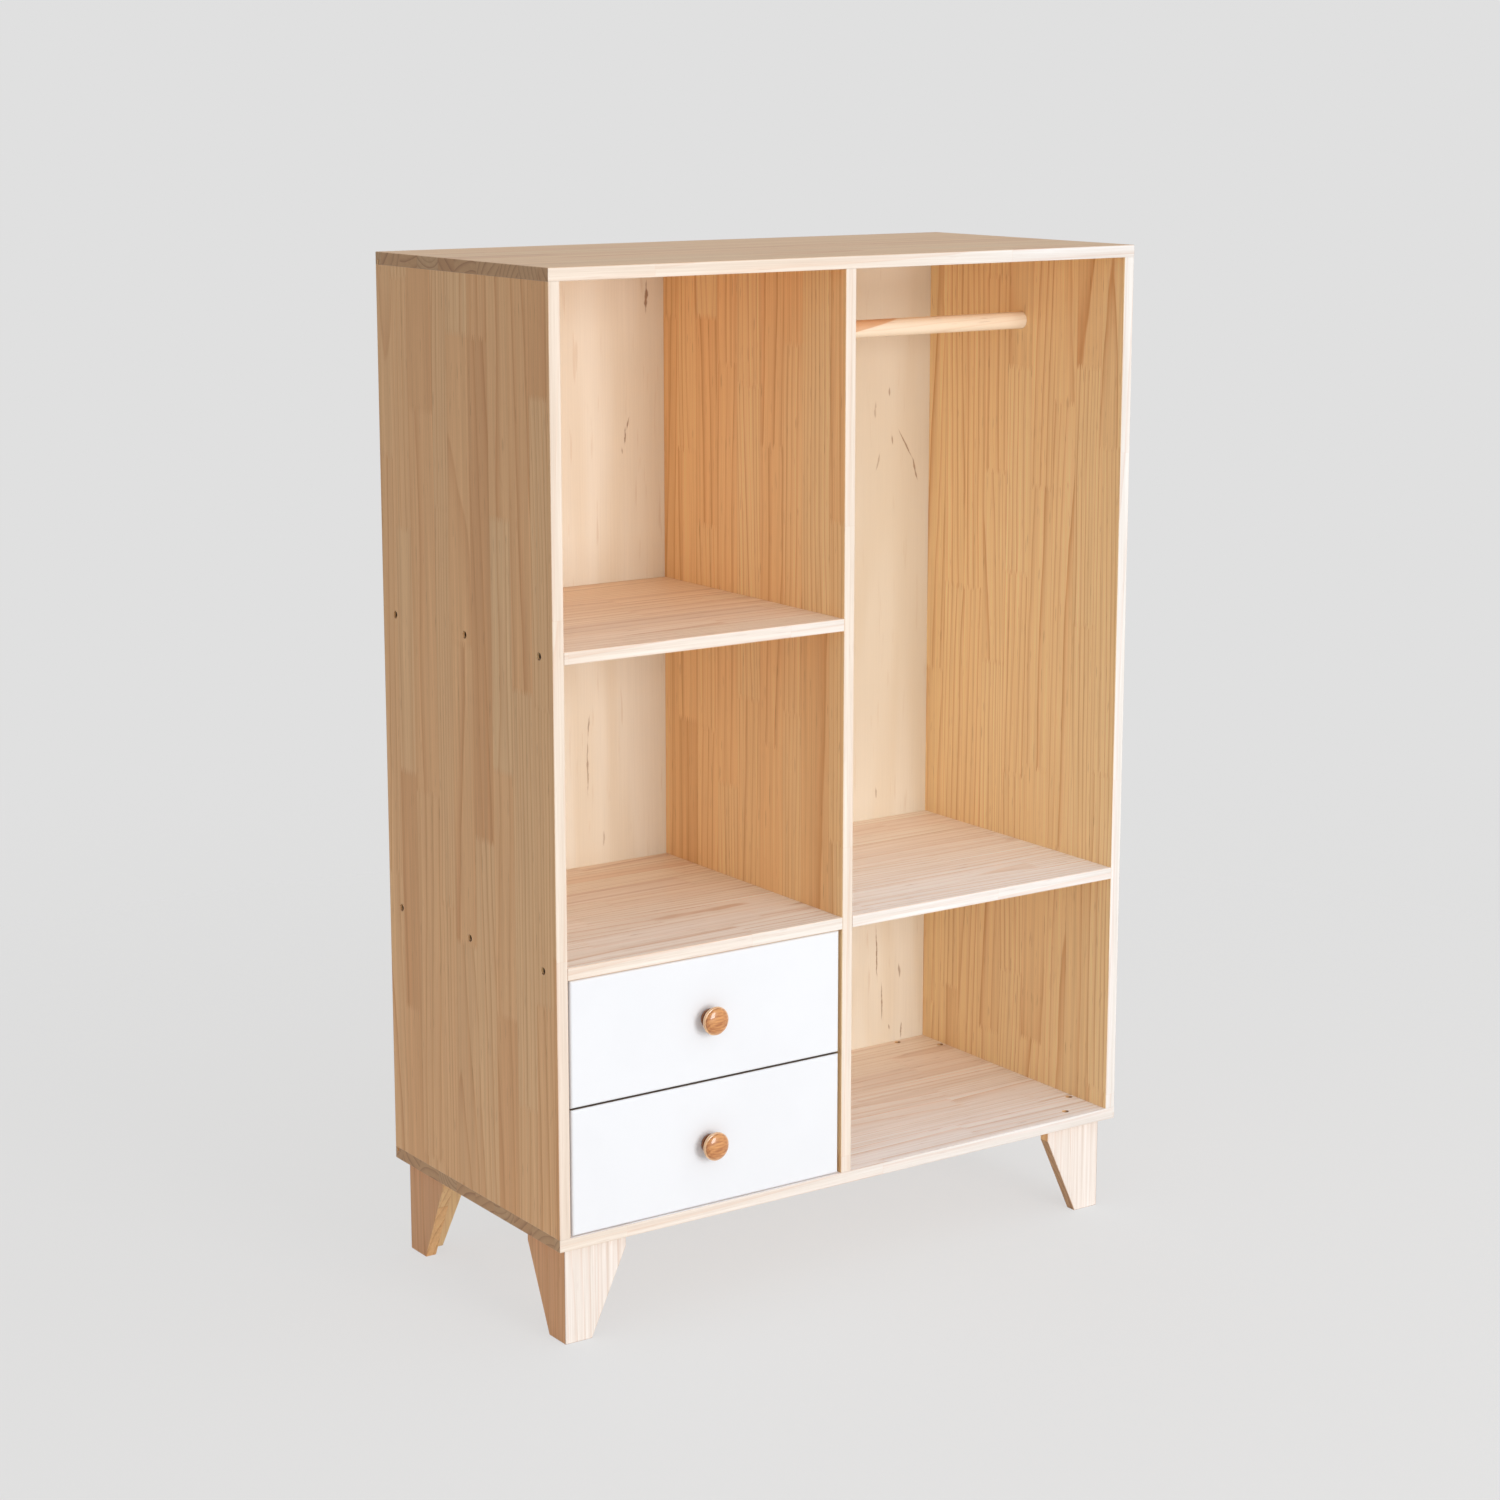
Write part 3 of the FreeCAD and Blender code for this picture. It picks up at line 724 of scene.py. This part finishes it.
# %% The back and its bark streaks
# Each streak: top x, top z, bottom x, bottom z and half width in millimetres, then how dark it is.
streaks = [
    (-45, 1214, -47, 1170, 2.4, 0.85), (-73, 1042, -77, 1024, 1.1, 0.7), (-79, 1030, -79, 1004, 1.3, 0.8),
    (-84, 1004, -84, 994, 1.1, 0.6), (-136, 664, -140, 630, 1.2, 0.6), (-140, 632, -140, 552, 1.3, 0.6),
    (-116, 507, -117, 485, 1.3, 0.4), (341, 1057, 342, 1043, 1.3, 0.6), (319, 1040, 318, 1014, 1.8, 0.4),
    (347, 992, 348, 977, 1.6, 0.7), (357, 1000, 382, 956, 1.6, 0.75), (381, 960, 391, 926, 1.8, 0.75),
    (327, 970, 320, 943, 1.5, 0.45), (323, 508, 325, 490, 1.4, 0.5), (326, 310, 329, 226, 1.3, 0.8),
    (337, 228, 338, 168, 1.4, 0.7), (367, 250, 368, 227, 1.8, 0.6), (349, 164, 351, 155, 1.3, 0.6),
    (372, 163, 371, 139, 1.8, 0.7),
]
dress("back_panel", plywood_finish("veneered back", "xzy", streaks))
print("plywood back with", len(streaks), "streaks")

# %% [markdown]
# ## The hanging rod
# The rod is one turned stick, so it has no staves: only rings that run almost parallel to it, which makes
# long slanting flames on its round surface. The same ring group does it, with the rod's own middle as the
# place across. A slanting line parts the pale wood from an orange stripe of heartwood.

# %% Rod
rod_pale = screen_colour(249, 232, 208)
rod_orange = screen_colour(214, 148, 88)
rod_tones, rod_spacing = (0.62, 0.2, 0.86), 0.007
flame_steps, flame_share = (0.05, 0.6), 0.15
stripe_slope, stripe_height, stripe_sway = 0.2, 0.0085, 0.004
stripe_fade, stripe_share = 0.001, 0.7
rod_dash_share, rod_edge_share, rod_roughness = 0.25, 0.2, (0.36, 0.51)


def rod_finish():
    """Turned pine rod."""
    finish, tree, shader = new_finish("turned rod")
    place, _, _ = board_place(tree, "hanging_rod", "yxz")
    across, along, through = parts_of(tree, place)
    rings = use_group(tree, growth_rings, {
        "Place": place, "Across": across, "Tones": rod_tones, "Ring Spacing": rod_spacing})
    threads = use_group(tree, fibres, {"Place": place})
    flame = step_up(tree, rings["Latewood"], *flame_steps, 0.0, flame_share)
    colour = blend_colour(tree, flame, rod_pale, rod_orange)
    stripe = calc(tree, "MULTIPLY_ADD", along, stripe_slope, stripe_height)
    stripe = calc(tree, "MULTIPLY_ADD", threads["Drift"], stripe_sway, stripe)
    above = calc(tree, "SUBTRACT", through, stripe)
    colour = blend_colour(tree, step_up(tree, above, -stripe_fade, stripe_fade, 0.0, stripe_share),
                          colour, rod_orange)
    colour = blend_colour(tree, times(tree, threads["Dashes"], rod_dash_share), colour, resin_brown)
    edge = surface_normal(tree, shader, threads["Fibre"], distance=0.0001, strength=0.3, edge_radius=0.0004)
    colour = blend_colour(tree, times(tree, edge, rod_edge_share), colour, highlight_and_wear_cream)
    wire(tree, shader, colour, between(tree, threads["Fibre"], *rod_roughness))
    return finish


dress("hanging_rod", rod_finish())
print("rod dressed")

# %% [markdown]
# ## White painted fronts
# The drawer fronts are sprayed a cool white. Flat white reads as plastic or as nothing at all, so the paint
# gets what a sprayed film has: a slight orange peel, a sheen that is not quite even, and edges where it
# pulled thin. The edges that lie flat stay a raw tan, and the two along the gap between the fronts carry
# painted shade, which makes them the darkest.

# %% White paint
paint_white = screen_colour(231, 233, 237)
paint_shade = screen_colour(229, 231, 235)
paint_thin = screen_colour(232, 226, 216)
paint_raw = screen_colour(236, 212, 184)
gap_painted_shade = screen_colour(138, 120, 104)
peel_lumps, film_lumps = (900.0, 900.0, 900.0), (9.0, 9.0, 9.0)
shade_steps, flat_steps, gap_shade_steps = (0.35, 0.65), (0.9, 0.99), (0.004, 0.008)
gap_height = (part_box("upper_drawer_front")[0].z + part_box("lower_drawer_front")[1].z) / 2
thin_share, paint_roughness = 0.4, (0.3, 0.46)


def paint_finish():
    """Sprayed white paint."""
    finish, tree, shader = new_finish("sprayed white paint")
    coordinates = add(tree, "TexCoord").outputs
    place = coordinates["Object"]
    film = cloud(tree, place, film_lumps, 3.0)
    colour = blend_colour(tree, step_up(tree, film, *shade_steps), paint_white, paint_shade)
    upright = calc(tree, "ABSOLUTE", parts_of(tree, coordinates["Normal"])[z_axis])
    lying = step_up(tree, upright, *flat_steps)
    # Painted shade: flat edges beside the gap between the fronts turn a dark brown-grey.
    from_gap = calc(tree, "ABSOLUTE", calc(tree, "SUBTRACT", parts_of(tree, place)[z_axis], gap_height))
    bare_and_gap_shade = blend_colour(tree, step_up(tree, from_gap, *gap_shade_steps, 1.0, 0.0), paint_raw, gap_painted_shade)
    colour = blend_colour(tree, lying, colour, bare_and_gap_shade)
    peel = cloud(tree, place, peel_lumps, 1.0)
    edge = surface_normal(tree, shader, peel, distance=0.00015, strength=0.08, edge_radius=0.0008)
    colour = blend_colour(tree, times(tree, edge, thin_share), colour, paint_thin)
    wire(tree, shader, colour, between(tree, film, *paint_roughness))
    return finish


white_paint = paint_finish()
for drawer in drawers:
    dress(drawer + "_drawer_front", white_paint)
print("painted fronts:", len(drawers))

# %% [markdown]
# ## Turned knobs
# A knob is turned on a lathe: a collar against the front, a slim neck, a flare and a domed face with a soft
# rim. The solid has those forms in straight steps, which is what a tool path needs. For the eye the steps
# become curves, so a mesh is spun from a smooth outline that keeps the solid's size and place, and stands in
# for it.

# %% Turning a mesh
spin_steps = 96
sharp_angle = math.radians(50)
merge_distance = 1e-6


def arc(middle, radii, start, end, count):
    """Points on part of an ellipse, as (radius, reach) pairs, from one angle to the other in degrees."""
    turns = [math.radians(start + (end - start) * step / count) for step in range(count + 1)]
    return [(middle[0] + radii[0] * math.cos(turn), middle[1] + radii[1] * math.sin(turn)) for turn in turns]


def spun(name, outline, middle, direction):
    """A mesh object turned from an outline of (radius, reach) points about an axis that leaves the middle."""
    form = bmesh.new()
    outline_verts = [form.verts.new((radius, 0.0, reach)) for radius, reach in outline]
    strip = [form.edges.new(pair) for pair in zip(outline_verts, outline_verts[1:])]
    bmesh.ops.spin(form, geom=outline_verts + strip, axis=(0, 0, 1), cent=(0, 0, 0),
                   angle=math.tau, steps=spin_steps, use_merge=True)
    bmesh.ops.remove_doubles(form, verts=form.verts, dist=merge_distance)
    bmesh.ops.recalc_face_normals(form, faces=form.faces)
    mesh = bpy.data.meshes.new(name)
    form.to_mesh(mesh)
    form.free()
    mesh.shade_smooth()
    mesh.set_sharp_from_angle(angle=sharp_angle)
    piece = bpy.data.objects.new(name, mesh)
    bpy.context.scene.collection.objects.link(piece)
    turn = Vector((0, 0, 1)).rotation_difference(direction)
    piece.matrix_world = Matrix.Translation(middle) @ turn.to_matrix().to_4x4()
    return piece


print("lathe ready:", spin_steps, "steps a turn")

# %% Knobs
def knob_outline(radius, reach):
    """Collar, neck, flare, rim and dome, from the drawer front outwards."""
    collar, neck, flare, rim = radius * 0.68, radius * 0.4, radius * 0.86, radius * 0.06
    bead, cove, dome = collar * 0.07, collar * 0.84, radius - rim * 1.6
    collar_reach, waist_reach, flare_reach = reach * 0.14, reach * 0.36, reach * 0.58
    rim_reach, face_reach = reach * 0.68, reach * 0.79
    points = [(0.0, 0.0)]
    points += arc((collar - bead, collar_reach / 2), (bead, collar_reach / 2), -90, 90, 10)
    points += arc((cove, waist_reach), (cove - neck, waist_reach - collar_reach), 270, 180, 14)
    points += arc((flare, waist_reach), (flare - neck, flare_reach - waist_reach), 180, 90, 16)
    points += arc((radius - rim, rim_reach), (rim, rim_reach - flare_reach), -90, 90, 18)
    points += arc((0.0, face_reach), (dome, reach - face_reach), 0, 90, 28)
    return points


knobs = []
for drawer in drawers:
    low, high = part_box(drawer + "_drawer_knob")
    centre = Vector(((low.x + high.x) / 2, high.y, (low.z + high.z) / 2))
    outline = knob_outline((high.x - low.x) / 2, high.y - low.y)
    knob = spun(drawer + "_turned_knob", outline, centre, Vector((0, -1, 0)))
    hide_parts(drawer + "_drawer_knob")
    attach(knob, drawer + "_drawer")
    knobs.append(knob)
print("knobs:", [(knob.name, len(knob.data.polygons)) for knob in knobs])

# %% Amber varnish
amber_pale = screen_colour(214, 150, 84)
amber_deep = screen_colour(168, 98, 42)
amber_dark = screen_colour(112, 58, 24)
amber_rim_highlight = screen_colour(250, 214, 168)
band_lumps, band_steps, knob_dash_share = (330.0, 40.0, 330.0), (0.3, 0.7), 0.5
neck_shade_steps, neck_shade_share = (0.007, 0.0125), 0.75
rim_highlight_radii, rim_highlight_reaches, rim_highlight_share = (0.0157, 0.0165), (0.012, 0.0128), 0.5
varnish_roughness = (0.28, 0.4)


def varnish_finish():
    """Thick amber varnish over fine grain. The knob's own x runs along the grain."""
    finish, tree, shader = new_finish("amber varnish")
    x, y, z = parts_of(tree, add(tree, "TexCoord").outputs["Object"])
    grain_place = joined(tree, y, x, z)
    bands = cloud(tree, grain_place, band_lumps, 3.0, coarse)
    threads = use_group(tree, fibres, {"Place": grain_place})
    colour = blend_colour(tree, step_up(tree, bands, *band_steps), amber_pale, amber_deep)
    colour = blend_colour(tree, times(tree, threads["Dashes"], knob_dash_share), colour, amber_dark)
    # Painted shade: the collar and neck of the knob, behind its cap, are darkened.
    colour = blend_colour(tree, step_up(tree, z, *neck_shade_steps, neck_shade_share, 0.0), colour, amber_dark)
    # Painted highlight: a pale ring on the rounded rim of the cap.
    from_axis = vector_calc(tree, "LENGTH", joined(tree, x, y, 0.0))
    rim_highlight = times(tree, step_up(tree, from_axis, *rim_highlight_radii), step_up(tree, z, *rim_highlight_reaches))
    colour = blend_colour(tree, times(tree, rim_highlight, rim_highlight_share), colour, amber_rim_highlight)
    surface_normal(tree, shader, threads["Fibre"], distance=0.0001, strength=0.1, edge_radius=0.0003)
    wire(tree, shader, colour, between(tree, bands, *varnish_roughness))
    shader.inputs["Coat Weight"].default_value = 1.0
    shader.inputs["Coat Roughness"].default_value = 0.06
    return finish


varnish = varnish_finish()
for knob in knobs:
    knob.data.materials.append(varnish)
print("varnished knobs:", len(knobs))

# %% [markdown]
# ## Steel
# Two kinds of steel hold the wardrobe together. The sunk screws are coloured almost black as painted shade for
# the deep holes they sit in, so their heads look like dark holes from a step away. The slides are pressed from
# zinc-plated sheet: fine lines along the rolling, cloudy brightness from the plating bath, and bare bright
# edges where the press cut them.

# %% Node group: rolled metal
rolling_lumps, bath_lumps = (2400.0, 12.0, 2400.0), (60.0, 40.0, 60.0)
bath_roughness, line_roughness = (0.16, 0.36), 0.18


def rolled_metal_group():
    group, inner, outer = new_group(
        "Rolled metal", {"Place": "Vector"}, {"Lines": "Float", "Clouds": "Float", "Roughness": "Float"})
    lines = cloud(group, inner["Place"], rolling_lumps, 2.0, coarse)
    clouds = cloud(group, inner["Place"], bath_lumps, 3.0, coarse)
    rough = calc(group, "MULTIPLY_ADD", lines, line_roughness, between(group, clouds, *bath_roughness))
    give(group, outer, Lines=lines, Clouds=clouds, Roughness=rough)
    return group


rolled_metal = rolled_metal_group()
print("group:", rolled_metal.name, len(rolled_metal.nodes), "nodes")

# %% Slides and screws
worn_share = 0.6


def steel_finish(name, bright, dull, worn, metallic):
    """Plated steel with worn edges, or dark steel whose colour is painted shade."""
    finish, tree, shader = new_finish(name)
    metal = use_group(tree, rolled_metal, {"Place": add(tree, "TexCoord").outputs["Object"]})
    colour = blend_colour(tree, metal["Clouds"], screen_colour(*bright), screen_colour(*dull))
    edge = surface_normal(tree, shader, metal["Lines"], distance=0.00005, strength=0.2, edge_radius=0.0003)
    colour = blend_colour(tree, times(tree, edge, worn_share), colour, screen_colour(*worn))
    wire(tree, shader, colour, metal["Roughness"])
    shader.inputs["Metallic"].default_value = metallic
    shader.inputs["Specular IOR Level"].default_value = 0.3
    return finish


# Painted shade: the screws are coloured dark brown-black for the shade in their holes.
shaded_screw = steel_finish("screw steel with painted shade", (38, 21, 12), (26, 14, 8), (58, 36, 24), metallic=0.1)
zinc = steel_finish("zinc plate", (206, 208, 210), (168, 172, 176), (232, 232, 230), metallic=1.0)
slides = [f"{drawer}_{side}_slide_{member}" for drawer in drawers for side in sides
          for member in ("outer", "middle", "inner")]
for node in slides + [drawer + "_drawer_knob_screw" for drawer in drawers]:
    dress(node, zinc)
for node in ("shelf_screws", "leg_screws"):
    dress(node, shaded_screw)
print("steel: slides", len(slides), "and screws")

# %% [markdown]
# ## Slide screws
# Each slide is screwed to the wall or to the drawer through its web. The heads are small and low, because the
# next channel runs past them with two millimetres to spare. They are turned like the knobs, with a driver
# recess.

# %% Slide screws
head_radius, head_rise = 0.0032, 0.0015
screw_shares = (0.12, 0.5, 0.88)
web = 0.0012


def pan_head_outline():
    """A low rounded head with a recess in its middle."""
    recess, crown = head_radius * 0.34, head_radius * 0.5
    recess_floor, skirt = head_rise * 0.45, head_rise * 0.3
    points = [(0.0, recess_floor), (recess * 0.55, recess_floor), (recess, head_rise)]
    points += arc((head_radius - crown, skirt), (crown, head_rise - skirt), 88, 0, 8)
    return points + [(head_radius, 0.0), (0.0, 0.0)]


heads = []
for drawer in drawers:
    for side, wall_way in zip(sides, (-1, 1)):
        for member, body, way in (("outer", "carcass", -wall_way), ("inner", drawer + "_drawer", wall_way)):
            low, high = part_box(f"{drawer}_{side}_slide_{member}")
            seat = high.x - web if way < 0 else low.x + web
            for number, share in enumerate(screw_shares, start=1):
                middle = Vector((seat, low.y + share * (high.y - low.y), (low.z + high.z) / 2))
                name = f"{drawer}_{side}_{member}_screw_{number}"
                head = spun(name, pan_head_outline(), middle, Vector((way, 0, 0)))
                head.data.materials.append(zinc)
                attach(head, body)
                heads.append(head)
print("slide screws:", len(heads))

# %% [markdown]
# ## Floor, light and camera
# The room is a plain pale studio. The floor is a large disc that keeps the shadow and fades out towards its
# rim, so no edge or horizon shows from any side. The world lights the object softly from in front and a
# little from behind, and shows a pale grey where it is looked at directly or mirrored. One large lamp in
# front gives the faces their order: front brightest, side darkest.

# %% Floor
floor_radius, floor_corners = 4.5, 96
fade_steps = (1.1, 3.2)
floor_grey = screen_colour(243, 243, 243)
backdrop_grey = screen_colour(224, 224, 224)
floor_share, floor_lift = 0.25, 0.82
mottle_lumps, mottle_shades = (3.0, 3.0, 3.0), (0.99, 1.01)
black = (0.0, 0.0, 0.0, 1.0)


def seen_directly(tree):
    """1 for a ray that shows the surface, straight or in a mirror or glass, and 0 for one that lights."""
    rays = add(tree, "LightPath").outputs
    mirrored = calc(tree, "MAXIMUM", rays["Is Glossy Ray"], rays["Is Transmission Ray"])
    return calc(tree, "MAXIMUM", rays["Is Camera Ray"], mirrored)


def floor_finish():
    """Matt pale floor that fades to nothing at its rim, and keeps a faint shadow where it is looked at."""
    finish, tree, shader = new_finish("studio floor")
    place = add(tree, "TexCoord").outputs["Object"]
    mottle = between(tree, cloud(tree, place, mottle_lumps, 3.0), *mottle_shades)
    colour = shaded(tree, floor_grey, mottle)
    seen = seen_directly(tree)
    dimmed = [level * floor_share for level in backdrop_grey[:3]] + [1.0]
    lift = [level * floor_lift for level in backdrop_grey[:3]] + [1.0]
    tree.links.new(blend_colour(tree, seen, colour, dimmed), shader.inputs["Base Color"])
    tree.links.new(blend_colour(tree, seen, black, lift), shader.inputs["Emission Color"])
    shader.inputs["Emission Strength"].default_value = 1.0
    shader.inputs["Roughness"].default_value = 0.9
    shader.inputs["Specular IOR Level"].default_value = 0.1
    away = vector_calc(tree, "LENGTH", place)
    tree.links.new(step_up(tree, away, *fade_steps, 1.0, 0.0), shader.inputs["Alpha"])
    return finish


bpy.ops.mesh.primitive_circle_add(
    vertices=floor_corners, radius=floor_radius, fill_type="NGON", location=(0, 0, 0))
floor = bpy.context.object
floor.name = "studio_floor"
floor.data.materials.append(floor_finish())
print("floor radius:", floor_radius)

# %% World
side_light, front_light, rear_light = 0.222, 0.9, 0.55
front_axis, front_steps = (0.1, -0.85, 0.52), (0.0, 0.9)
rear_axis, rear_steps = (0.0, 0.94, 0.34), (0.62, 1.0)
sky_white = (1.0, 0.99, 0.98, 1.0)

world = bpy.data.worlds.new("soft studio")
bpy.context.scene.world = world
world.use_nodes = True
sky = world.node_tree
sky.nodes.clear()
way_out = add(sky, "TexCoord").outputs["Generated"]
ahead = vector_calc(sky, "DOT_PRODUCT", way_out, front_axis)
behind = vector_calc(sky, "DOT_PRODUCT", way_out, rear_axis)
glow = calc(sky, "ADD", step_up(sky, ahead, *front_steps, side_light, front_light),
            step_up(sky, behind, *rear_steps, 0.0, rear_light))
soft = add(sky, "Background", {"Color": sky_white, "Strength": glow}).outputs[0]
plain = add(sky, "Background", {"Color": backdrop_grey, "Strength": 1.0}).outputs[0]
shown = add(sky, "MixShader", {0: seen_directly(sky), 1: soft, 2: plain}).outputs[0]
add(sky, "OutputWorld", {"Surface": shown})
bpy.context.scene.view_settings.view_transform = "Standard"
print("world light:", side_light, "to", front_light)

# %% Lamp
key_power = 66.0
key_width, key_height = 1.3, 1.9
key_place = Vector((0.35, -3.8, 1.15))
key_target = Vector((0.0, 0.0, 0.6))

key = bpy.data.lights.new("window", "AREA")
key.shape = "RECTANGLE"
key.size = key_width
key.size_y = key_height
key.energy = key_power
lamp = bpy.data.objects.new("window", key)
lamp.location = key_place
lamp.rotation_mode = "QUATERNION"
lamp.rotation_quaternion = (key_target - key_place).to_track_quat("-Z", "Y")
bpy.context.scene.collection.objects.link(lamp)
print("lamp:", key_power, "W,", key_width, "by", key_height, "m")

# %% Camera
camera_place = Vector((-2.1882, -3.1347, 1.4620))
camera_turn, camera_tilt, camera_roll = (math.radians(angle) for angle in (-34.601, -11.102, -0.003))
camera_lens, camera_sensor = 74.68, 36.0
camera_shift = -0.04

camera_data = bpy.data.cameras.new("photograph")
camera_data.lens = camera_lens
camera_data.sensor_width = camera_sensor
camera_data.shift_y = camera_shift
camera = bpy.data.objects.new("photograph", camera_data)
look = Matrix.Rotation(camera_turn, 4, "Z") @ Matrix.Rotation(math.pi / 2 + camera_tilt, 4, "X")
camera.matrix_world = Matrix.Translation(camera_place) @ look @ Matrix.Rotation(camera_roll, 4, "Z")
bpy.context.scene.collection.objects.link(camera)
bpy.context.scene.camera = camera
print("camera:", [round(part, 2) for part in camera.location], "lens", camera_lens)
